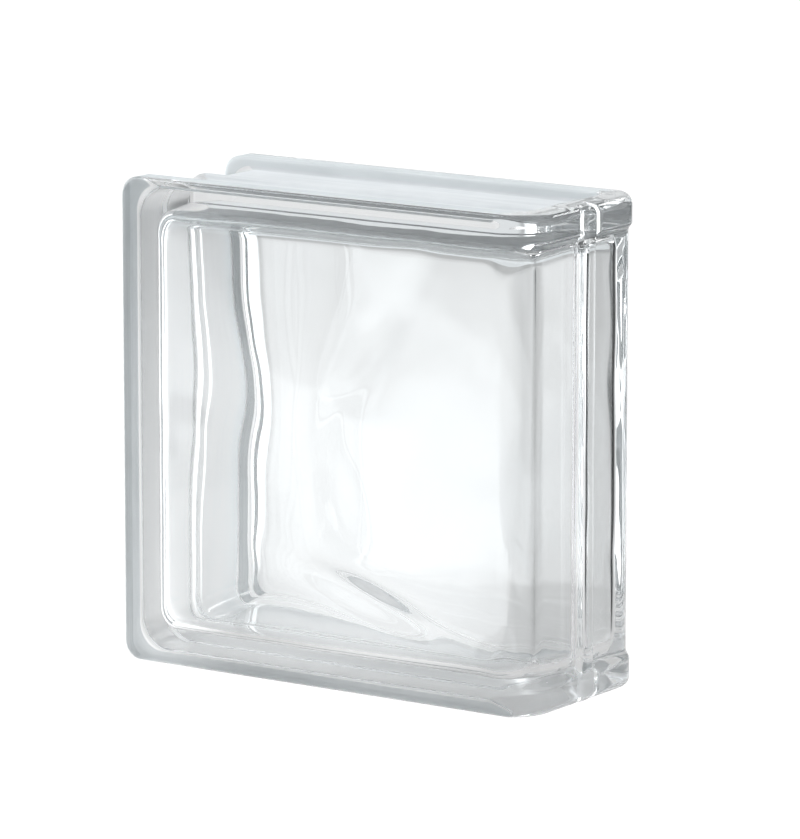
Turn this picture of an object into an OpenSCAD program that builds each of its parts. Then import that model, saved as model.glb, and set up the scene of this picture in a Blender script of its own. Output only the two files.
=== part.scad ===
// Hollow glass block, end unit: two pressed glass halves fused at a seam half way through the depth.
// Left, top and bottom have a mortar channel between two lips. The right end is the finished one: it is
// closed and rounded, and the mortar channels stop behind it.
// X is the width (finished end at +X), Y the depth (front face at -Y), Z the height. Millimetres.

/* [Block] */
// Width over the left lips and the finished end
block_w = 190; // [150:1:240]
// Height over the lips
block_h = 190; // [150:1:240]
// Depth over the two faces
block_d = 80; // [76:1:100]
// Radius of the finished end's two upright corners, seen from above
end_r = 15.5; // [12:0.5:20]
// Radius of the left lips' corners, seen from the front
lip_corner_r = 7; // [4:0.5:10]
// Radius of the lips' corners at the finished end, seen from the front
end_corner_r = 4; // [2:0.5:8]
// Radius of the long edges of the lips
edge_r = 2.5; // [1:0.25:4]

/* [Mortar channel] */
// Depth of each lip along Y
lip_d = 12; // [9:0.5:14]
// How far the channel floor lies below the lips
channel_deep = 4.5; // [3:0.25:6]
// Radius of the channel floor's corners
channel_corner_r = 12; // [8:0.5:16]
// Thickness of the finished end's lip along X, at the top of its sloping inner side
end_lip_w = 11; // [9:0.5:14]
// Thickness of that lip along X, at the channel floor
end_foot_w = 23; // [16:0.5:28]

/* [Seam] */
// Radius of the fused seam's round back
seam_r = 3; // [2:0.25:4]
// How far the seam stands above the channel floor
seam_high = 1.75; // [1:0.25:2.5]
// How far the seam bead on the finished end stands above the lips there
bead_proud = 0.5; // [0.25:0.25:1]
// Half the width of that bead
bead_half = 4; // [3:0.25:5]
// How much wider it is on each side where it crosses the end's two bands
bead_flare = 1; // [0:0.25:2]
// Radius of the bead's long edges
bead_r = 2; // [1:0.25:3]

/* [Finished end] */
// Height of the raised band at the top and bottom of the finished end
end_band_h = 12; // [9:0.5:16]
// How far the end wall lies behind those bands
end_recess = 3; // [1:0.25:4]

/* [Hollow] */
// Mean thickness of the front and rear plates
plate_t = 8; // [6:0.5:10]
// Thickness of the side walls at the seam
wall_t = 7; // [5:0.5:9]
// How much thicker the side walls are where they meet the plates
wall_draft = 1; // [0:0.25:2]
// How far the seam's inner bead stands into the hollow
inner_bead = 1; // [0:0.25:2]
// Radius of the hollow's fillet between wall and plate
fillet_r = 7; // [4:0.5:10]
// Radius of the hollow's corners, seen from the front
hollow_corner_r = 8; // [7:0.5:12]

/* [Hidden] */
$fn = 96;
// Radius of the groove where each band rounds off beside the bead
groove_r = 1.1;
// Half the inner bead's depth along Y
inner_bead_d = 3;
// How far past the solid a cutting shape reaches
past = 5;

lip_in = block_d / 2 - lip_d;           // |Y| of the lips' inner sides
right = block_w / 2 - bead_proud;       // X of the finished end's bands
stop_x = right - end_lip_w;             // X where the channels stop, level with the lips
foot_x = right - end_foot_w;            // X where they stop, at their floor
floor_x = -block_w / 2 + channel_deep;  // X of the left channel's floor
floor_top = block_h - channel_deep;     // Z of the top channel's floor

// Swells pressed into the inside of a plate: [x, z, lean in degrees, half length, half width, height].
// Height is towards the hollow. x and z are measured from the middle of the face.
FRONT_SWELLS = [
    [21, 44, 33, 46, 8.5, 1.4],
    [2, -18, -10, 30, 11, 1],
    [13, -57, 108, 26, 5.5, 2],
    [-20, -72, 90, 65, 18, 1.4],
    [85, -85, 90, 35, 18, -2],
    [-76, 13, 0, 22, 24, 2],
    [-12, 17, 20, 25, 34, -1.8],
    [-75, 78, 0, 25, 30, -1.2],
    [-66, 2, 20, 13, 15, -0.6],
    [-48, -45, 0, 35, 16, 0.7],
    [58, 0, 35, 40, 18, 1],
];
REAR_SWELLS = [
    [-30, 20, 35, 60, 16, 1.5],
    [25, -35, 55, 45, 18, 1.3],
    [45, 45, -25, 45, 18, -1.4],
    [-55, -45, -60, 40, 18, -1.2],
    [10, 75, 80, 50, 14, 1],
    [85, 66, 5, 10, 4.5, 2.6],
    [85, 18, -7, 17, 4.5, 3],
    [85, -43, 5, 8, 4.5, 2.6],
];

// Counts for the hollow's mesh: straight steps a side, steps a corner, rings on a plate, rings in a fillet
side_steps = 14;
corner_steps = 6;
plate_rings = 22;
fillet_rings = 4;
ring_n = 4 * (side_steps + corner_steps);

// ---- two-dimensional outlines ----

// Rectangle from [x0, y0] to [x1, y1] whose left corners have radius rl and right corners rr
module round_rect(x0, y0, x1, y1, rl, rr) {
    translate([x0 + rl, y0]) square([x1 - x0 - rl - rr, y1 - y0]);
    translate([x0, y0 + rl]) square([rl, y1 - y0 - 2 * rl]);
    translate([x1 - rr, y0 + rr]) square([rr, y1 - y0 - 2 * rr]);
    for (y = [y0 + rl, y1 - rl]) translate([x0 + rl, y]) circle(rl);
    for (y = [y0 + rr, y1 - rr]) translate([x1 - rr, y]) circle(rr);
}

// A shape drawn in X and Z, given depth from Y = y0 to Y = y1
module along_y(y0, y1) {
    translate([0, y1, 0]) rotate([90, 0, 0]) linear_extrude(y1 - y0) children();
}

// ---- the outside ----

// The plain block: its outlines from above, from the front and from the side, all at once
module envelope() {
    intersection() {
        linear_extrude(block_h)
            round_rect(-block_w / 2, -block_d / 2, right, block_d / 2, edge_r, end_r);
        along_y(-block_d / 2 - past, block_d / 2 + past)
            round_rect(-block_w / 2, 0, right, block_h, lip_corner_r, end_corner_r);
        translate([-block_w / 2 - past, 0, 0])
            rotate([90, 0, 90])
                linear_extrude(block_w + 2 * past)
                    round_rect(-block_d / 2, 0, block_d / 2, block_h, edge_r, edge_r);
    }
}

// From the front, everything left of the finished end's lip, with that lip's sloping inner sides
module channel_side() {
    slope = (stop_x - foot_x) / channel_deep;
    polygon([
        [-block_w / 2 - past, -past], [stop_x + past * slope, -past], [foot_x, channel_deep],
        [foot_x, floor_top], [stop_x + past * slope, block_h + past], [-block_w / 2 - past, block_h + past],
    ]);
}

// What is missing between the lips on the left, top and bottom
module channels() {
    along_y(-lip_in, lip_in)
        difference() {
            channel_side();
            round_rect(floor_x, channel_deep, right + past, floor_top, channel_corner_r, end_corner_r);
        }
}

// What is missing from the end between its top and bottom bands
module end_panel() {
    translate([0, 0, end_band_h])
        linear_extrude(block_h - 2 * end_band_h)
            difference() {
                translate([right - end_r, -block_d / 2 - past])
                    square([end_r + past, block_d + 2 * past]);
                round_rect(0, -block_d / 2, right - end_recess, block_d / 2, edge_r, end_r - end_recess);
            }
}

// The fused seam along the channel floors: straight runs with a quarter turn between them
module seam() {
    inset = seam_r - seam_high;              // from the floor in to the middle of the round back
    turn = channel_corner_r - inset;         // radius of that middle line at the corners
    low = channel_deep + inset;
    high = floor_top - inset;
    left = floor_x + inset;
    for (z = [low, high])
        translate([left + turn, 0, z])
            rotate([0, 90, 0]) cylinder(r = seam_r, h = foot_x + 3 - left - turn);
    translate([left, 0, low + turn]) cylinder(r = seam_r, h = high - low - 2 * turn);
    for (corner = [[low + turn, 180], [high - turn, 90]])
        translate([left + turn, 0, corner[0]])
            rotate([90, 0, 0])
                rotate([0, 0, corner[1]])
                    rotate_extrude(angle = 90) translate([turn, 0]) circle(seam_r);
}

// The bead's section seen from above, for half its width
module bead_section(half) {
    round_rect(right - end_recess - 2, -half, block_w / 2, half, 0.5, bead_r);
}

// The bead where the seam shows on the finished end: it stands out as far as the bands all the way up
// and down, is a little wider where it crosses them, and has rounded tips
module end_bead() {
    wide = bead_half + bead_flare;
    intersection() {
        union() {
            linear_extrude(block_h) bead_section(bead_half);
            for (z = [0, block_h - end_band_h]) translate([0, 0, z]) linear_extrude(end_band_h) bead_section(wide);
        }
        rotate([90, 0, 90])
            linear_extrude(block_w)
                round_rect(-wide - 0.5, 0.5, wide + 0.5, block_h - 0.5, wide, wide);
    }
}

// The grooves in the bands, one on each side of the bead
module bead_grooves() {
    for (y = [-1, 1], z = [-past, block_h - end_band_h])
        translate([right + 0.2, y * (bead_half + bead_flare + 0.6), z])
            cylinder(r = groove_r, h = end_band_h + past);
}

// ---- the hollow ----

// Height of one swell at x, z
function swell(s, x, z) =
    let (along = (x - s[0]) * sin(s[2]) + (z - s[1]) * cos(s[2]),
         across = (x - s[0]) * cos(s[2]) - (z - s[1]) * sin(s[2]))
    s[5] * exp(-pow(along / s[3], 2) - pow(across / s[4], 2));

// Height of all of a plate's swells at x, z
function relief(swells, x, z, i = 0) =
    i == len(swells) ? 0 : swell(swells[i], x, z) + relief(swells, x, z, i + 1);

// The hollow's half sizes in X and Z and its middle, at the seam
hollow_x0 = floor_x + wall_t;
hollow_x1 = right - end_recess - wall_t;
hollow_z0 = channel_deep + wall_t;
hollow_z1 = floor_top - wall_t;
mid = [(hollow_x0 + hollow_x1) / 2, (hollow_z0 + hollow_z1) / 2];
half = [(hollow_x1 - hollow_x0) / 2, (hollow_z1 - hollow_z0) / 2];

// Point i of the hollow's outline, inset from the one at the seam, counted round from the right side's foot
function outline(i, inset) =
    let (r = hollow_corner_r,
         quarter = floor(i / (side_steps + corner_steps)),
         step = i % (side_steps + corner_steps),
         h = [half[0] - inset - r, half[1] - inset - r],
         turn = quarter * 90,
         // along a side, then round the corner after it, in the side's own directions
         reach = quarter % 2 == 0 ? h : [h[1], h[0]],
         on_side = step < side_steps,
         a = on_side ? 0 : 90 * (step - side_steps) / corner_steps,
         u = reach[0] + r * cos(a),
         v = on_side ? -reach[1] + 2 * reach[1] * step / side_steps : reach[1] + r * sin(a))
    [u * cos(turn) - v * sin(turn), u * sin(turn) + v * cos(turn)];

// Rings from the seam to the middle of a plate: [inset, shrink, share of the depth, share of the relief]
function half_rings() = concat(
    [[inner_bead, 1, 0, 0], [inner_bead * 0.7, 1, inner_bead_d / 3, 0], [0, 1, inner_bead_d, 0],
     [wall_draft, 1, block_d / 2 - plate_t - fillet_r, 0]],
    [for (k = [1 : fillet_rings])
        let (a = 90 * k / fillet_rings)
        [wall_draft + fillet_r * (1 - cos(a)), 1,
         block_d / 2 - plate_t - fillet_r * (1 - sin(a)), pow(sin(a), 2)]],
    [for (k = [1 : plate_rings - 1])
        [wall_draft + fillet_r, 1 - k / plate_rings, block_d / 2 - plate_t, 1]]);

// All the points of one ring, on the front (side = -1) or the rear (side = 1)
function ring_points(r, side) =
    [for (i = [0 : ring_n - 1])
        let (p = outline(i, r[0]) * r[1],
             h = relief(side < 0 ? FRONT_SWELLS : REAR_SWELLS, p[0], p[1]))
        [mid[0] + p[0], side * (r[2] - r[3] * h), mid[1] + p[1]]];

function plate_middle(side) =
    [[mid[0], side * (block_d / 2 - plate_t - relief(side < 0 ? FRONT_SWELLS : REAR_SWELLS, 0, 0)), mid[1]]];

// The hollow inside: rings from the front plate's middle, round the seam, to the rear plate's middle
module hollow() {
    rings = half_rings();
    n = len(rings);
    // the ring at the seam is counted once
    stack = concat([for (k = [n - 1 : -1 : 0]) ring_points(rings[k], -1)],
                   [for (k = [1 : n - 1]) ring_points(rings[k], 1)]);
    count = len(stack);
    points = concat([for (ring = stack) each ring], plate_middle(-1), plate_middle(1));
    front = count * ring_n;
    polyhedron(points, concat(
        [for (k = [0 : count - 2], i = [0 : ring_n - 1])
            let (j = (i + 1) % ring_n, a = k * ring_n, b = a + ring_n)
            each [[a + i, a + j, b + j], [a + i, b + j, b + i]]],
        [for (i = [0 : ring_n - 1]) [front, (i + 1) % ring_n, i]],
        [for (i = [0 : ring_n - 1])
            let (a = (count - 1) * ring_n) [front + 1, a + i, a + (i + 1) % ring_n]]),
        convexity = 4);
}

// ---- the piece ----

module glass_block() {
    color([0.86, 0.90, 0.91, 0.6])
        difference() {
            union() {
                difference() {
                    envelope();
                    channels();
                    end_panel();
                    bead_grooves();
                }
                seam();
                end_bead();
            }
            hollow();
        }
}

glass_block();
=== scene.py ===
"""A hollow glass end block: two pressed glass halves fused at a seam, with a coat on its mortar sides."""

import math

import bpy
import numpy as np
from mathutils import Matrix, Vector, noise


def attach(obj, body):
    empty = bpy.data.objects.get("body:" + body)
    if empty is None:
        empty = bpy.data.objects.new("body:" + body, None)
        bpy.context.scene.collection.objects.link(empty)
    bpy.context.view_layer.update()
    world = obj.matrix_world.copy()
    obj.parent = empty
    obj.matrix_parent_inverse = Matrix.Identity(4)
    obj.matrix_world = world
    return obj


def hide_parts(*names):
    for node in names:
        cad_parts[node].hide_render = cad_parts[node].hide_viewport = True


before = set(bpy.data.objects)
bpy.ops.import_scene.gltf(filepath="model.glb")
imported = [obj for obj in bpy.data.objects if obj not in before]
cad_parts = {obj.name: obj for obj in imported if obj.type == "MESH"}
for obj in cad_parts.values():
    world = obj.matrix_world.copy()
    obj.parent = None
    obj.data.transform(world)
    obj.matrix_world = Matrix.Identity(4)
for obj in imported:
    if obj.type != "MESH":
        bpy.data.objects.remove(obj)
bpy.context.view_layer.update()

# ---------------------------------------------------------------------------
# Camera, table and lights. A long lens looks from the front right and a little above at the block,
# which stands on a white table in a white room. The room's dark rear right draws the glass's edges.
# ---------------------------------------------------------------------------

VIEW_TURN = math.radians(34.38)      # round from the front, towards the finished end
VIEW_LIFT = math.radians(10.73)      # above the level
VIEW_FAR = 2.3559                    # from the block's middle, in metres
AIM_RIGHT, AIM_UP = 0.00687, 0.00357     # from the block's middle to the middle of the view
backward = Vector((math.sin(VIEW_TURN) * math.cos(VIEW_LIFT),
                   -math.cos(VIEW_TURN) * math.cos(VIEW_LIFT), math.sin(VIEW_LIFT)))
rightward = Vector((math.cos(VIEW_TURN), math.sin(VIEW_TURN), 0))
upward = backward.cross(rightward)
spot = Vector((0, 0, 0.095)) + rightward * AIM_RIGHT + upward * AIM_UP + backward * VIEW_FAR
lens = bpy.data.cameras.new("camera")
lens.lens = 263.43
lens.sensor_width = 36
lens.clip_start = 0.05
lens.clip_end = 60
camera = bpy.data.objects.new("camera", lens)
bpy.context.scene.collection.objects.link(camera)
camera.matrix_world = Matrix((
    (rightward.x, upward.x, backward.x, spot.x),
    (rightward.y, upward.y, backward.y, spot.y),
    (rightward.z, upward.z, backward.z, spot.z),
    (0, 0, 0, 1),
))
bpy.context.scene.camera = camera


class Knots:
    """Adds nodes to a tree: add() takes a node's type, its settings, and what goes to its sockets."""

    def __init__(self, tree):
        self.tree = tree

    def add(self, kind, settings=None, sockets=None):
        node = self.tree.nodes.new(kind)
        for name, value in (settings or {}).items():
            setattr(node, name, value)
        for name, value in (sockets or {}).items():
            value = value.socket if isinstance(value, Reading) else value
            if isinstance(value, bpy.types.NodeSocket):
                self.tree.links.new(value, node.inputs[name])
            else:
                node.inputs[name].default_value = value
        return node

    def read(self, node, name=0):
        return Reading(self, node.outputs[name])


class Reading:
    """A number that comes out of a node. Python's signs on it add Math nodes."""

    def __init__(self, knots, socket):
        self.knots = knots
        self.socket = socket

    def maths(self, operation, *others):
        sockets = {0: self}
        sockets.update({place + 1: other for place, other in enumerate(others)})
        return self.knots.read(self.knots.add("ShaderNodeMath", {"operation": operation}, sockets))

    def __add__(self, other): return self.maths("ADD", other)
    def __radd__(self, other): return self.maths("ADD", other)
    def __sub__(self, other): return self.maths("SUBTRACT", other)
    def __rsub__(self, other): return self.maths("MULTIPLY_ADD", -1.0, other)
    def __mul__(self, other): return self.maths("MULTIPLY", other)
    def __rmul__(self, other): return self.maths("MULTIPLY", other)
    def __truediv__(self, other): return self.maths("DIVIDE", other)
    def __rtruediv__(self, other): return self.maths("POWER", -1.0) * other


def empty_material(name):
    material = bpy.data.materials.new(name)
    material.use_nodes = True
    material.node_tree.nodes.clear()
    return material, Knots(material.node_tree)


table_mesh = bpy.data.meshes.new("table")
table_mesh.from_pydata([(-15, -15, 0), (15, -15, 0), (15, 15, 0), (-15, 15, 0)], [], [(0, 1, 2, 3)])
table = bpy.data.objects.new("table", table_mesh)
bpy.context.scene.collection.objects.link(table)
table_white, knots = empty_material("table_white")


def ramp(knots, value, low, high, at_low=0.0, at_high=1.0):
    """A smooth step from one level to another while the value goes from low to high."""
    return knots.read(knots.add("ShaderNodeMapRange", {"interpolation_type": "SMOOTHSTEP"}, {
        "Value": value, "From Min": low, "From Max": high, "To Min": at_low, "To Max": at_high}))


# The table is evenly white to the eye. What the glass sees of it is counted round from a point in
# front of the block: a white sweep behind that falls off with distance, a bright patch at the rear
# left, a dark side at the rear right, a greyer front, and a faint shadow under the block.
EYE_WHITE = 1.08
FRONT_LEVEL, SIDE_LEVEL = 0.47, 0.69
SWEEP_GAIN, SWEEP_FALL, FAR_SHARE = 0.17, 0.2, 0.6
REAR_LEFT_LEVEL = 2.2
DARK = 0.95                          # share of the light that the dark side lacks
SHADOW = 0.94
LOOK_FROM = 0.35                     # metres in front of the block

spot_on = knots.add("ShaderNodeSeparateXYZ", None, {
    "Vector": knots.read(knots.add("ShaderNodeNewGeometry"), "Position")})
px, py = knots.read(spot_on, "X"), knots.read(spot_on, "Y")
away = math.hypot(backward.x, backward.y)
ax, ay = -backward.x / away, -backward.y / away
qx, qy = px + ax * LOOK_FROM, py + ay * LOOK_FROM
far = (qx * qx + qy * qy).maths("SQRT")
behind = (qx * ax + qy * ay) / far              # 1 straight behind the block, -1 in front of it
sideways = (qx * ay - qy * ax) / far            # 1 towards the right of the view, -1 towards its left
left_rear = ramp(knots, sideways, -0.1, -0.32) * ramp(knots, behind, -0.15, 0.25)
right_side = ramp(knots, sideways, 0.35, 0.8) * ramp(knots, behind, -0.7, -0.2)
sweep = ramp(knots, behind, 0.90, 0.96, 0.0, SWEEP_GAIN)
seen_by_glass = ramp(knots, behind, -0.3, 0.6, FRONT_LEVEL, SIDE_LEVEL) + sweep
off_middle = ramp(knots, sideways.maths("ABSOLUTE"), 0.02, 0.15, 0.0, SWEEP_FALL)
seen_by_glass = seen_by_glass - off_middle * ramp(knots, behind, 0.90, 0.96)
seen_by_glass = seen_by_glass * ramp(knots, far, 1.3, 2.7, 1.0, FAR_SHARE)
seen_by_glass = seen_by_glass.maths("MAXIMUM", left_rear * REAR_LEFT_LEVEL).maths("MAXIMUM", right_side)
unlit = ramp(knots, sideways, 0.36, 0.48) * ramp(knots, behind, 0.42, 0.55)
under = ramp(knots, (px * px * 0.16 + py * py).maths("SQRT"), 0.028, 0.046, SHADOW, 1.0)
seen_by_glass = seen_by_glass * (1.0 - unlit * DARK) * under
to_eye = knots.read(knots.add("ShaderNodeLightPath"), "Is Camera Ray")
level = seen_by_glass + to_eye * (EYE_WHITE - seen_by_glass)
cool = ramp(knots, behind, 0.95, 0.86) * (1.0 - to_eye)
cast = knots.add("ShaderNodeMix", {"data_type": "RGBA"}, {
    0: cool, 6: (1, 1, 1, 1), 7: (0.955, 0.985, 1.0, 1)})     # 0 is the factor, 6 and 7 the two colours
glow = knots.add("ShaderNodeEmission", None, {"Color": knots.read(cast, 2), "Strength": level})
table_white.node_tree.links.new(glow.outputs[0], knots.add("ShaderNodeOutputMaterial").inputs[0])
table_mesh.materials.append(table_white)

# The room: dim at the sides, with light panels at the rear left, behind, overhead and on the right.
room = bpy.data.worlds.new("room")
room.use_nodes = True
room.node_tree.nodes.clear()
knots = Knots(room.node_tree)
way = knots.add("ShaderNodeSeparateXYZ", None, {
    "Vector": knots.read(knots.add("ShaderNodeTexCoord"), "Generated")})
wx, wy, wz = knots.read(way, "X"), knots.read(way, "Y"), knots.read(way, "Z")
flat = (wx * wx + wy * wy).maths("SQRT") + 0.001
to_back = (wx * ax + wy * ay) / flat
to_right = (wx * ay - wy * ax) / flat
panels = (
    ramp(knots, to_right, -0.38, -0.6, 0.0, 2.9) * ramp(knots, to_back, 0.1, 0.42),      # rear left
    ramp(knots, to_back, 0.86, 0.95) * ramp(knots, wz, 0.45, 0.3) * 0.8,                 # behind
    ramp(knots, wz, 0.55, 0.85, 0.0, 0.78),                                              # overhead
    ramp(knots, wx, 0.5, 0.75, 0.0, 1.5),                                                # right
)
level = ramp(knots, to_back, -0.2, -0.6, 0.5, 0.56)      # the room itself
for panel in panels:
    level = level.maths("MAXIMUM", panel)
unlit = ramp(knots, to_right, 0.36, 0.48) * ramp(knots, to_back, 0.42, 0.55) * ramp(knots, wz, 0.75, 0.5)
level = level * (1.0 - unlit * DARK)
sky = knots.add("ShaderNodeBackground", None, {"Color": (0.955, 0.983, 1.0, 1), "Strength": level})
room.node_tree.links.new(sky.outputs[0], knots.add("ShaderNodeOutputWorld").inputs[0])
bpy.context.scene.world = room

# A long lamp high behind the block: its white line lies along the finished end's top lip.
LAMP_PLACE = Vector((0.30, 1.40, 1.05))
LAMP_LONG, LAMP_WIDE, LAMP_LEVEL = 0.7, 0.12, 6.0
to_block = (Vector((0, 0, 0.1)) - LAMP_PLACE).normalized()
lamp_side = Vector((0, 0, 1)).cross(to_block).normalized()
lamp_lift = to_block.cross(lamp_side)
lamp_mesh = bpy.data.meshes.new("strip_light")
lamp_mesh.from_pydata([LAMP_PLACE + lamp_side * a * LAMP_LONG / 2 + lamp_lift * b * LAMP_WIDE / 2
                       for a, b in ((-1, -1), (1, -1), (1, 1), (-1, 1))], [], [(0, 1, 2, 3)])
lamp = bpy.data.objects.new("strip_light", lamp_mesh)
bpy.context.scene.collection.objects.link(lamp)
lamp_white, knots = empty_material("strip_light")
glow = knots.add("ShaderNodeEmission", None, {"Color": (1, 1, 1, 1), "Strength": LAMP_LEVEL})
lamp_white.node_tree.links.new(glow.outputs[0], knots.add("ShaderNodeOutputMaterial").inputs[0])
lamp_mesh.materials.append(lamp_white)
lamp.visible_camera = False
lamp.visible_shadow = False
lamp.visible_diffuse = False

view = bpy.context.scene.view_settings
view.view_transform = "Standard"
view.look = "None"
view.exposure = 0.0
cycles = bpy.context.scene.cycles
cycles.max_bounces = 32
cycles.transmission_bounces = 28
cycles.glossy_bounces = 24
cycles.diffuse_bounces = 6
cycles.transparent_max_bounces = 16
cycles.caustics_reflective = True
cycles.caustics_refractive = True
cycles.use_denoising = True

# ---------------------------------------------------------------------------
# Block, outside. Two pressed glass halves are fused at a seam. Their lips stand up at the front and
# the back, with mortar channels between them on the left, top and bottom. The right end is finished,
# to be seen: it has raised bands at its top and bottom, and the seam's bead stands up all its height.
# ---------------------------------------------------------------------------

MM = 0.001
LEFT, END = -95.0, 94.5              # over the left lips, and over the finished end's bands
TALL, HALF_DEEP = 190.0, 40.0
LIP_DEEP = 12.0                      # each lip, along Y
LIP_CREST_R, LIP_FOOT_R = 1.6, 1.3   # round the lip's inner edge, and where it meets the floor
CHANNEL = 4.5                        # depth of the mortar channels
SEAM_R, SEAM_UP = 3.0, 1.75          # the seam's round back, and its height above the channel floor
EDGE_R, END_R = 2.5, 15.5            # round the faces' outer edges, and the finished end's upright ones
LIP_CORNER_R, FLOOR_CORNER_R, END_CORNER_R = 7.0, 12.0, 4.0
SLOPE_FOOT, SLOPE_TOP = 71.5, 83.5   # the end lip's sloping inner side, along X
BAND, RECESS = 12.0, 3.0             # the finished end's bands, and the wall behind them
BEAD_X = 94.97                       # over the seam's bead on the finished end
BEAD_HALF, BEAD_FLARE = 4.0, 1.0     # half the bead's width on the end wall, and its gain on the bands
GROOVE = 1.5                         # depth of the grooves beside the bead on the bands


def eased(value, low, high):
    """0 below low, 1 above high, and a smooth S between."""
    share = np.clip((value - low) / (high - low), 0, 1)
    return share * share * (3 - 2 * share)


def bow(y, radius, reach=HALF_DEEP):
    """How far an edge of this radius has curved in at depth y."""
    past = np.clip(np.abs(y) - (reach - radius), 0, radius)
    return radius - np.sqrt(radius ** 2 - past ** 2)


def half_profile():
    """From a face to the seam: [y, y at the finished end, share of the channel's depth]."""
    rows = []
    # the lip's outer edge and its top
    for angle in (0, 12, 24, 36, 48, 60, 75, 90):
        y = HALF_DEEP - EDGE_R * (1 - math.cos(math.radians(angle)))
        rows.append((y, y, 0.0))
    for y in (36.6, 35.4, 34.0, 32.5, 31.0):
        rows.append((y, y, 0.0))
    # its inner edge, its inner side and the fillet at its foot
    inner = HALF_DEEP - LIP_DEEP
    for angle in (0, 18, 36, 54, 72, 90):
        a = math.radians(angle)
        rows.append((inner + LIP_CREST_R * (1 - math.sin(a)), None,
                     LIP_CREST_R * (1 - math.cos(a)) / CHANNEL))
    for share in (0.5, 0.6):
        rows.append((inner - 0.4 * (share - 0.35), None, share))
    for angle in (0, 18, 36, 54, 72, 90):
        a = math.radians(angle)
        rows.append((inner - 0.15 - LIP_FOOT_R * (1 - math.cos(a)), None,
                     1 - LIP_FOOT_R * (1 - math.sin(a)) / CHANNEL))
    # the channel's floor, and the seam with a small fillet where it rises
    for y in (25.5, 23.0, 19.0, 15.0, 11.0, 8.0, 6.0, 5.0):
        rows.append((y, None, 1.0))
    for y in (4.2, 3.5, 3.0, 2.6, 2.2, 1.7, 1.1, 0.5, 0.0):
        rise = math.sqrt(max(SEAM_R * SEAM_R - y * y, 0)) - (SEAM_R - SEAM_UP)
        rise = 0.5 * (rise + math.sqrt(rise * rise + 0.12)) - 0.5 * 0.12 / 3
        rows.append((y, None, 1 - max(min(rise, SEAM_UP), 0) / CHANNEL))
    # on the finished end the channel's rows spread over the wall and crowd round the bead
    free = [k for k, row in enumerate(rows) if row[1] is None]
    seam_rows = [7.0, 6.4, 6.0, 5.6, 5.3, 5.0, 4.7, 4.4, 4.15, 3.9, 3.6, 3.1, 2.4, 1.6, 0.8, 0.0]
    broad = np.linspace(29.6, 8.0, len(free) - len(seam_rows))
    ends = list(broad) + seam_rows
    for k, y in zip(free, ends):
        rows[k] = (rows[k][0], y, rows[k][2])
    return rows


def ring_places():
    """Places round a section: [side, share along it], anticlockwise from the front view's left foot."""
    def steps(clusters):        # closer where the end lip slopes and where the bands end
        marks = []
        for low, high, step in clusters:
            marks += list(np.arange(low, high - 1e-6, step))
        return marks + [clusters[-1][1]]
    along = steps([(0, 0.74, 0.0125), (0.74, 0.86, 0.006), (0.86, 0.99, 0.005), (0.99, 1, 0.01)])
    up = steps([(0, 0.11, 0.006), (0.11, 0.89, 0.0125), (0.89, 1, 0.006)])
    left = steps([(0, 1, 0.0125)])
    places = []
    places += [("bottom", f) for f in along]
    places += [("bottom_end", f) for f in np.linspace(0, 1, 9)[1:-1]]
    places += [("end", f) for f in up]
    places += [("top_end", f) for f in np.linspace(0, 1, 9)[1:-1]]
    places += [("top", f) for f in along[::-1]]
    places += [("top_left", f) for f in np.linspace(0, 1, 13)[1:-1]]
    places += [("left", f) for f in left]
    places += [("bottom_left", f) for f in np.linspace(0, 1, 13)[1:-1]]
    return places


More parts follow.
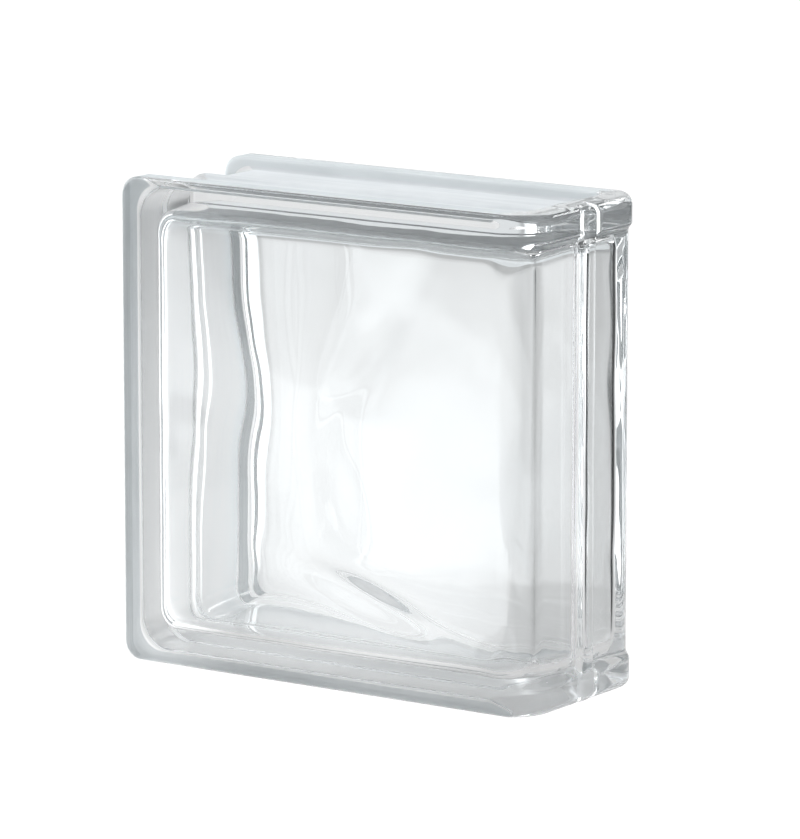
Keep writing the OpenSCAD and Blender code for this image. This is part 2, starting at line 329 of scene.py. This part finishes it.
def skin_point(side, share, y_side, y_end, deep):
    """One point of the outside: on which side, how far along it, at which depth, in how deep a channel."""
    # the outline at this depth: at the lips' level and at the channel floor's
    edge = bow(y_side, EDGE_R)
    radius_left = LIP_CORNER_R + (FLOOR_CORNER_R - LIP_CORNER_R) * deep
    x_left = LEFT + edge + CHANNEL * deep
    wall_r = END_R - RECESS
    end_edge = bow(y_end, END_R)
    wall_edge = RECESS + bow(y_end, wall_r)
    x_end = END - end_edge
    low, high = edge, TALL - edge
    floor_low, floor_high = low + CHANNEL * deep, high - CHANNEL * deep

    a = math.radians(90 * share)
    if side in ("bottom", "top"):
        x0, x1 = x_left + radius_left, x_end - END_CORNER_R
        x = x0 + (x1 - x0) * share
        rise = CHANNEL * deep * slope_stop(x)
        z = low + rise if side == "bottom" else high - rise
        blend = eased(x, SLOPE_TOP, END - 5)
        return x, y_side + (y_end - y_side) * blend, z
    if side in ("bottom_left", "top_left"):
        cx, r = x_left + radius_left, radius_left
        if side == "bottom_left":
            return cx - r * math.cos(a), y_side, floor_low + r - r * math.sin(a)
        return cx - r * math.sin(a), y_side, floor_high - r + r * math.cos(a)
    if side == "left":
        z0, z1 = floor_low + radius_left, floor_high - radius_left
        return x_left, y_side, z1 + (z0 - z1) * share
    # the finished end and its two corners
    low, high = bow(y_end, EDGE_R), TALL - bow(y_end, EDGE_R)
    r = END_CORNER_R
    if side == "bottom_end":
        x, z = x_end - r + r * math.sin(a), low + r - r * math.cos(a)
    elif side == "top_end":
        x, z = x_end - r + r * math.cos(a), high - r + r * math.sin(a)
    else:
        x, z = x_end, low + r + (high - low - 2 * r) * share
    inside = eased(z, BAND - 1.2, BAND + 1.6) * (1 - eased(z, TALL - BAND - 1.6, TALL - BAND + 1.2))
    across = abs(y_end)
    # the bead: a rib with a slightly bowed back, wider on the bands, with round tips and a groove beside it
    tip = min(z, TALL - z)
    half = BEAD_HALF + BEAD_FLARE * (1 - eased(tip, BAND - 2, BAND + 6))
    if tip < half:
        half *= 0.35 + 0.65 * math.sqrt(max(1 - (1 - tip / half) ** 2, 0))
    x_groove = GROOVE * math.exp(-((across - half - 0.7) / 0.75) ** 2)
    base = (x - x_groove) * (1 - inside) + (END - wall_edge) * inside
    share_across = min(across / (half + 0.35), 1)
    back = (BEAD_X - (x_end - x) - 0.15 * (across / half) ** 2
            - 4.6 * (1 - (1 - share_across ** 4) ** 0.25))
    return (soft_max(base, back, 0.5) if across < half + 0.35 else base), y_end, z


def slope_stop(x):
    """Share of the channel's depth that is left at x: 1 up to the end lip's foot, 0 past its top."""
    share = np.clip((x - SLOPE_FOOT) / (SLOPE_TOP - SLOPE_FOOT), 0, 1)
    return 1 - (0.35 * eased(x, SLOPE_FOOT, SLOPE_TOP) + 0.65 * share)


def soft_max(a, b, round_by):
    """The larger of two heights, with a small fillet where they cross."""
    gap = a - b
    crossing = 0.5 * (a + b + math.sqrt(gap * gap + round_by * round_by * 0.25))
    return crossing - 0.25 * round_by * math.exp(-abs(gap) / round_by)


profile = half_profile()
rows = [(-y, -ye, k) for y, ye, k in profile] + [(y, ye, k) for y, ye, k in profile[::-1][1:]]
places = ring_places()
points, faces, face_row, face_place = [], [], [], []     # a face keeps its row and its place along the row
for y, ye, k in rows:
    for side, share in places:
        points.append(skin_point(side, share, y, ye, k))
n = len(places)
for r in range(len(rows) - 1):
    for i in range(n):
        j = (i + 1) % n
        faces.append((r * n + i, (r + 1) * n + i, (r + 1) * n + j, r * n + j))
        face_row.append(r)
        face_place.append(i)
# each flat face: a narrow ring just inside its edge, then one flat polygon
for start, y in ((0, -HALF_DEEP), ((len(rows) - 1) * n, HALF_DEEP)):
    rim = [Vector((points[start + i][0], points[start + i][2])) for i in range(n)]
    first = len(points)
    for i in range(n):
        ahead = (rim[(i + 1) % n] - rim[i - 1]).normalized()
        inward = Vector((-ahead.y, ahead.x))
        place = rim[i] + inward * 0.35
        points.append((place.x, y, place.y))
    for i in range(n):
        j = (i + 1) % n
        quad = (start + i, start + j, first + j, first + i)
        faces.append(quad if y < 0 else quad[::-1])
        face_row.append(-1)
        face_place.append(i)
    ring = list(range(first, first + n))
    faces.append(tuple(ring) if y < 0 else tuple(ring[::-1]))
    face_row.append(-1)
    face_place.append(0)

# ---------------------------------------------------------------------------
# Block, inside. The sealed hollow has drafted side walls with the seam's inner bead, and fillets to
# the two plates. The moulds pressed broad swells into the plates' inner faces while the glass was
# soft. On the mortar sides a thin coat was brushed on when the block had cooled.
# ---------------------------------------------------------------------------

WALL, PLATE = 7.0, 8.0               # thickness of the side walls, behind the channels, and of the plates
HOLLOW_X = (LEFT + CHANNEL + WALL, END - RECESS - WALL)
HOLLOW_Z = (CHANNEL + WALL, TALL - CHANNEL - WALL)
DRAFT, FILLET, HOLLOW_CORNER = 1.0, 7.0, 8.0
INNER_BEAD, INNER_BEAD_DEEP = 0.6, 3.0
SIDE_STEPS = 104                     # round a quarter of the hollow
middle = ((HOLLOW_X[0] + HOLLOW_X[1]) / 2, (HOLLOW_Z[0] + HOLLOW_Z[1]) / 2)
half_size = ((HOLLOW_X[1] - HOLLOW_X[0]) / 2, (HOLLOW_Z[1] - HOLLOW_Z[0]) / 2)


def hollow_loop(inset):
    """The hollow's outline, counted from the middle of one corner's turn to the next, four times."""
    r = HOLLOW_CORNER
    loop = []
    for quarter in range(4):
        reach = [half_size[0] - inset - r, half_size[1] - inset - r]
        if quarter % 2:
            reach.reverse()
        turn = math.radians(90 * quarter)
        arc, straight = r * math.pi / 4, 2 * reach[1]
        for step in range(SIDE_STEPS):
            s = (2 * arc + straight) * step / SIDE_STEPS
            if s < arc:
                a = -math.pi / 4 + s / r
                u, v = reach[0] + r * math.cos(a), -reach[1] + r * math.sin(a)
            elif s < arc + straight:
                u, v = reach[0] + r, -reach[1] + s - arc
            else:
                a = (s - arc - straight) / r
                u, v = reach[0] + r * math.cos(a), reach[1] + r * math.sin(a)
            loop.append((u * math.cos(turn) - v * math.sin(turn), u * math.sin(turn) + v * math.cos(turn)))
    return loop


# rings from the seam to a plate: [depth, inset, share of the relief]
wall_rings = []
for y in (0.0, 0.5, 1.0, 1.5, 2.0, 2.5, 3.0):
    wall_rings.append((y, INNER_BEAD * 0.5 * (1 + math.cos(math.pi * y / INNER_BEAD_DEEP)), 0.0))
flat_start = HALF_DEEP - PLATE - FILLET
for y in (4.5, 7.0, 10.0, 13.5, 17.0, 20.5, 23.0):
    wall_rings.append((y, DRAFT * (y - 3) / (flat_start - 3), 0.0))
for step in range(11):
    a = math.radians(9 * step)
    wall_rings.append((flat_start + FILLET * math.sin(a),
                       DRAFT + FILLET * (1 - math.cos(a)), math.sin(a) ** 2))

hollow_points, hollow_faces, plate_share = [], [], []
count = 4 * SIDE_STEPS
stack = [(-y, inset, -share) for y, inset, share in wall_rings[::-1]] + wall_rings[1:]
for y, inset, share in stack:
    for x, z in hollow_loop(inset):
        hollow_points.append((middle[0] + x, y, middle[1] + z))
        plate_share.append(share)
for r in range(len(stack) - 1):
    for i in range(count):
        j = (i + 1) % count
        hollow_faces.append((r * count + i, r * count + j, (r + 1) * count + j, (r + 1) * count + i))


def fill_plate(first, y, share):
    """A grid over one plate, drawn from the four sides of its outline towards the middle."""
    m = SIDE_STEPS
    rim = [np.array(hollow_points[first + i]) for i in range(count)]
    east, north, west = rim[0:m + 1], rim[m:2 * m + 1], rim[2 * m:3 * m + 1]
    south = (rim + rim[:1])[3 * m:4 * m + 1]
    grid = {}
    for a in range(m + 1):          # foot to top
        for b in range(m + 1):      # left to right
            if a == 0:
                index = first + 3 * m + b
            elif a == m:
                index = first + 2 * m - b
            elif b == 0:
                index = first + 3 * m - a
            elif b == m:
                index = first + a
            else:
                u, v = b / m, a / m
                place = ((1 - u) * west[m - a] + u * east[a] + (1 - v) * south[b] + v * north[m - b]
                         - (1 - u) * (1 - v) * south[0] - u * (1 - v) * south[m]
                         - u * v * north[0] - (1 - u) * v * north[m])
                index = len(hollow_points)
                hollow_points.append(tuple(place))
                plate_share.append(share)
            grid[a, b] = index if index != first + count else first
    for a in range(m):
        for b in range(m):
            quad = (grid[a, b], grid[a, b + 1], grid[a + 1, b + 1], grid[a + 1, b])
            hollow_faces.append(quad if y > 0 else quad[::-1])


fill_plate(0, -1, -1.0)
fill_plate((len(stack) - 1) * count, 1, 1.0)

# One mesh for the whole block: the outside, then the hollow with its faces towards the air in it.
skin_count = len(points)
block_mesh = bpy.data.meshes.new("glass_block_body")
block_mesh.from_pydata([tuple(np.array(p) * MM) for p in points + hollow_points], [],
                       faces + [tuple(skin_count + i for i in face) for face in hollow_faces])
block_mesh.update()
block_mesh.attributes.new("front_plate", "FLOAT", "POINT").data.foreach_set(
    "value", [0.0] * skin_count + [max(-share, 0.0) for share in plate_share])
block_mesh.attributes.new("rear_plate", "FLOAT", "POINT").data.foreach_set(
    "value", [0.0] * skin_count + [max(share, 0.0) for share in plate_share])


def ripple_outside(x, y, z):
    """The share of the hollow's ripple that the finished end has, clear of its bands, bead and faces."""
    return (0.6 * eased(x, 78, 86) * (1 - eased(abs(y), 39.2, 39.8)) * eased(abs(y), 6, 9)
            * eased(z, 13, 20) * (1 - eased(z, 170, 177)))


block_mesh.attributes.new("inside", "FLOAT", "POINT").data.foreach_set(
    "value", [ripple_outside(x, y, z) for x, y, z in points] + [1.0] * len(hollow_points))

# The coat on the mortar sides: lips, channels and seam, to a ragged edge short of the finished end.
COAT_END = 80
CREST_ROW, FLOOR_ROW = 8, 21         # the first rows past the lip's outer edge, and on the channel's floor
MORTAR_SIDES = ("top", "bottom", "left", "top_left", "bottom_left")
coat, coat_lip, coat_top = [], [], []
for face, row, place in zip(faces, face_row, face_place):
    side = places[place][0] if row >= 0 else "face"
    x, y, z = np.mean([points[i] for i in face], axis=0) if len(face) < 9 else (0, 0, 0)
    on_side = CREST_ROW <= row < len(rows) - 1 - CREST_ROW and side in MORTAR_SIDES
    ragged = (2.5 * noise.noise(Vector((y * 0.5, z * 0.05, 3.0)))
              + 1.2 * noise.noise(Vector((y * 1.7, z * 0.05, 7.0))))
    coated = bool(on_side and x < COAT_END + ragged)
    on_floor = FLOOR_ROW <= row < len(rows) - 1 - FLOOR_ROW
    coat.append(coated and on_floor and side != "top")
    # the lips' faces get a darker copy of the coat: its darker tone is painted shade
    coat_lip.append(coated and not on_floor)
    # the top channel's floor gets a darker copy of the coat: its darker tone is painted shade
    coat_top.append(coated and on_floor and side == "top")
for name, marks in (("coat", coat), ("coat_lip", coat_lip), ("coat_top", coat_top)):
    block_mesh.attributes.new(name, "BOOLEAN", "FACE").data.foreach_set(
        "value", marks + [False] * len(hollow_faces))

# The swells: [x, z, lean in degrees, half length, half width, height], from the hollow's middle.
# A negative height is a dip. The last three behind are short ones close to the finished end.
FRONT_SWELLS = [
    [21, 44, 33, 46, 8.5, 1.4],
    [2, -18, -10, 30, 11, 1],
    [13, -57, 108, 26, 5.5, 2],
    [-20, -72, 90, 65, 18, 1.4],
    [85, -85, 90, 35, 18, -2],
    [-76, 13, 0, 22, 24, 2],
    [-12, 17, 20, 25, 34, -1.8],
    [-75, 78, 0, 25, 30, -1.2],
    [-66, 2, 20, 13, 15, -0.6],
    [-48, -45, 0, 35, 16, 0.7],
    [58, 0, 35, 40, 18, 1],
]
REAR_SWELLS = [
    [-30, 20, 35, 60, 16, 1.5],
    [25, -35, 55, 45, 18, 1.3],
    [45, 45, -25, 45, 18, -1.4],
    [-55, -45, -60, 40, 18, -1.2],
    [10, 75, 80, 50, 14, 1],
    [85, 66, 5, 10, 4.5, 2.6],
    [85, 18, -7, 17, 4.5, 3],
    [85, -43, 5, 8, 4.5, 2.6],
]


def tree_with(name, sockets):
    """A Geometry Nodes tree with these sockets: [way, kind, label, value]."""
    tree = bpy.data.node_groups.new(name, "GeometryNodeTree")
    for way, kind, label, value in sockets:
        socket = tree.interface.new_socket(label, in_out=way, socket_type=kind)
        if value is not None:
            socket.default_value = value
    return tree, Knots(tree)


swell_tree, knots = tree_with("swell", [
    ("INPUT", "NodeSocketFloat", "Across X", 0.0), ("INPUT", "NodeSocketFloat", "Up Z", 0.0),
    ("INPUT", "NodeSocketFloat", "Centre X", 0.0), ("INPUT", "NodeSocketFloat", "Centre Z", 0.0),
    ("INPUT", "NodeSocketFloat", "Lean", 0.0), ("INPUT", "NodeSocketFloat", "Half Length", 30.0),
    ("INPUT", "NodeSocketFloat", "Half Width", 15.0), ("INPUT", "NodeSocketFloat", "Height", 1.0),
    ("OUTPUT", "NodeSocketFloat", "Height", None)])
given = knots.add("NodeGroupInput")
lean = knots.read(given, "Lean")
dx = knots.read(given, "Across X") - knots.read(given, "Centre X")
dz = knots.read(given, "Up Z") - knots.read(given, "Centre Z")
sine, cosine = lean.maths("SINE"), lean.maths("COSINE")
along = (dx * sine + dz * cosine) / knots.read(given, "Half Length")
across = (dx * cosine - dz * sine) / knots.read(given, "Half Width")
fall = ((along * along + across * across) * -1.0).maths("EXPONENT")
knots.add("NodeGroupOutput", None, {"Height": fall * knots.read(given, "Height")})

waves_tree, knots = tree_with("pressed_waves", [
    ("INPUT", "NodeSocketGeometry", "Geometry", None),
    ("INPUT", "NodeSocketFloat", "Front Waves", 1.0), ("INPUT", "NodeSocketFloat", "Rear Waves", 1.0),
    ("INPUT", "NodeSocketFloat", "Ripple Height", 0.2), ("INPUT", "NodeSocketFloat", "Ripple Size", 26.3),
    ("INPUT", "NodeSocketFloat", "Ripple Seed", 4.0),
    ("INPUT", "NodeSocketMaterial", "Glass", None), ("INPUT", "NodeSocketMaterial", "Coat", None),
    ("INPUT", "NodeSocketMaterial", "Lip Coat", None), ("INPUT", "NodeSocketMaterial", "Top Coat", None),
    ("OUTPUT", "NodeSocketGeometry", "Geometry", None)])
given = knots.add("NodeGroupInput")
here = knots.add("ShaderNodeSeparateXYZ", None, {
    "Vector": knots.read(knots.add("GeometryNodeInputPosition"))})
hollow_x = (knots.read(here, "X") - middle[0] * MM) * 1000.0
hollow_z = (knots.read(here, "Z") - middle[1] * MM) * 1000.0


def pressed(swells):
    """The sum of these swells' heights."""
    total = None
    for x, z, lean_deg, half_long, half_wide, height in swells:
        one = knots.add("GeometryNodeGroup", {"node_tree": swell_tree}, {
            "Across X": hollow_x, "Up Z": hollow_z, "Centre X": x, "Centre Z": z,
            "Lean": math.radians(lean_deg), "Half Length": half_long, "Half Width": half_wide,
            "Height": height})
        total = knots.read(one, "Height") if total is None else total + knots.read(one, "Height")
    return total


def share_named(name):
    """A mesh attribute's number at each point."""
    marked = knots.add("GeometryNodeInputNamedAttribute", {"data_type": "FLOAT"}, {"Name": name})
    return knots.read(marked, "Attribute")


ripple = knots.add("ShaderNodeTexNoise", {"noise_dimensions": "4D"}, {
    "Vector": knots.read(knots.add("GeometryNodeInputPosition")), "W": knots.read(given, "Ripple Seed"),
    "Scale": 1000.0 / knots.read(given, "Ripple Size"), "Detail": 1.0, "Roughness": 0.4})
ripple_height = ((knots.read(ripple, 0) - 0.5) * knots.read(given, "Ripple Height")
                 * share_named("inside") * 2.0)
push = (share_named("front_plate") * pressed(FRONT_SWELLS) * knots.read(given, "Front Waves")
        - share_named("rear_plate") * pressed(REAR_SWELLS) * knots.read(given, "Rear Waves"))
along_normal = knots.add("ShaderNodeVectorMath", {"operation": "SCALE"}, {
    "Vector": knots.read(knots.add("GeometryNodeInputNormal")), "Scale": ripple_height * MM})
along_y = knots.add("ShaderNodeCombineXYZ", None, {"Y": push * MM})
offset = knots.add("ShaderNodeVectorMath", {"operation": "ADD"}, {
    0: knots.read(along_normal), 1: knots.read(along_y)})
moved = knots.add("GeometryNodeSetPosition", None, {
    "Geometry": knots.read(given, "Geometry"), "Offset": knots.read(offset)})
whole = knots.add("GeometryNodeRealizeInstances", None, {"Geometry": knots.read(moved)})
dressed = knots.add("GeometryNodeSetMaterial", None, {
    "Geometry": knots.read(whole), "Material": knots.read(given, "Glass")})
# Lip Coat and Top Coat are darker copies of the one coat: their darker tone is painted shade, not a different
# film.
for name, label in (("coat", "Coat"), ("coat_lip", "Lip Coat"), ("coat_top", "Top Coat")):
    marked = knots.add("GeometryNodeInputNamedAttribute", {"data_type": "BOOLEAN"}, {"Name": name})
    dressed = knots.add("GeometryNodeSetMaterial", None, {
        "Geometry": knots.read(dressed), "Selection": knots.read(marked, "Attribute"),
        "Material": knots.read(given, label)})
knots.add("NodeGroupOutput", None, {"Geometry": knots.read(dressed)})

# The glass itself: clear, with a faint cool tint that is never quite the same all through a pressing.
glass, knots = empty_material("clear_pressed_glass")
batch = knots.add("ShaderNodeTexNoise", None, {
    "Vector": knots.read(knots.add("ShaderNodeTexCoord"), "Object"), "Scale": 11.0, "Detail": 1.0})
tint = knots.add("ShaderNodeMix", {"data_type": "RGBA"}, {
    0: ramp(knots, knots.read(batch, 0), 0.35, 0.65),
    6: (0.981, 0.992, 0.995, 1), 7: (0.975, 0.988, 0.993, 1)})
surface = knots.add("ShaderNodeBsdfPrincipled", None, {
    "Base Color": knots.read(tint, 2), "Roughness": 0.0, "IOR": 1.52, "Transmission Weight": 1.0})
out = knots.add("ShaderNodeOutputMaterial")
glass.node_tree.links.new(surface.outputs[0], out.inputs["Surface"])


def coat_film(name, clear, tone, streaks, gloss=0.5):
    """The thin, milky film that mortar keys to: how clear it is, its tone, and how far its streaks show."""
    film, knots = empty_material(name)
    where = knots.read(knots.add("ShaderNodeTexCoord"), "Object")
    drawn = knots.add("ShaderNodeMapping", None, {"Vector": where, "Scale": (14.0, 900.0, 14.0)})
    streak = knots.read(knots.add("ShaderNodeTexNoise", None, {
        "Vector": knots.read(drawn), "Scale": 1.0, "Detail": 3.0, "Roughness": 0.6}))
    cloud = knots.read(knots.add("ShaderNodeTexNoise", None, {"Vector": where, "Scale": 45.0, "Detail": 2.0}))
    thick = ramp(knots, streak, 0.42, 0.62) * streaks + ramp(knots, cloud, 0.35, 0.7) * (streaks * 0.6)
    shade = knots.add("ShaderNodeMix", {"data_type": "RGBA", "blend_type": "MULTIPLY"}, {
        0: thick, 6: tone, 7: (0.78, 0.79, 0.80, 1)})
    surface = knots.add("ShaderNodeBsdfPrincipled", None, {
        "Base Color": knots.read(shade, 2), "Roughness": thick * 0.12 + 0.34, "IOR": 1.52,
        "Transmission Weight": clear, "Specular IOR Level": gloss})
    out = knots.add("ShaderNodeOutputMaterial")
    film.node_tree.links.new(surface.outputs[0], out.inputs["Surface"])
    return film


film = coat_film("mortar_key_coat", 0.95, (0.985, 0.992, 0.996, 1), 0.25)
# The lips' copy of the same coat: less clear, and its darker tone is painted shade on the lips.
lip_film_painted_shade = coat_film("mortar_key_coat_lips_painted_shade", 0.12, (0.84, 0.87, 0.88, 1), 0.3, 0.0)
# The top channel's copy of the same coat: opaque, and its darker tone is painted shade on the top band.
top_film_painted_shade = coat_film("mortar_key_coat_top_painted_shade", 0.0, (0.87, 0.885, 0.895, 1), 0.3, 0.0)

rough_block = bpy.data.objects.new("block_blank", block_mesh)
bpy.context.scene.collection.objects.link(rough_block)
waves = rough_block.modifiers.new("pressed_waves", "NODES")
waves.node_group = waves_tree
inputs = {item.name: item.identifier for item in waves_tree.interface.items_tree
          if item.item_type == "SOCKET" and item.in_out == "INPUT"}
for label, value in (("Front Waves", 1.0), ("Rear Waves", 1.0),
                     ("Ripple Height", 0.2), ("Ripple Size", 26.3), ("Ripple Seed", 4.0),
                     ("Glass", glass), ("Coat", film), ("Lip Coat", lip_film_painted_shade), ("Top Coat", top_film_painted_shade)):
    waves[inputs[label]] = value
bpy.context.view_layer.update()
finished = bpy.data.meshes.new_from_object(rough_block.evaluated_get(bpy.context.evaluated_depsgraph_get()))
rough_block.modifiers.remove(waves)
bpy.data.objects.remove(rough_block)
finished.shade_smooth()
for spare in ("front_plate", "rear_plate", "inside", "coat", "coat_lip", "coat_top"):
    if spare in finished.attributes:
        finished.attributes.remove(finished.attributes[spare])
block = bpy.data.objects.new("glass_block_piece", finished)
bpy.context.scene.collection.objects.link(block)
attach(block, "root")
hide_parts("glass_block")

bpy.context.view_layer.update()
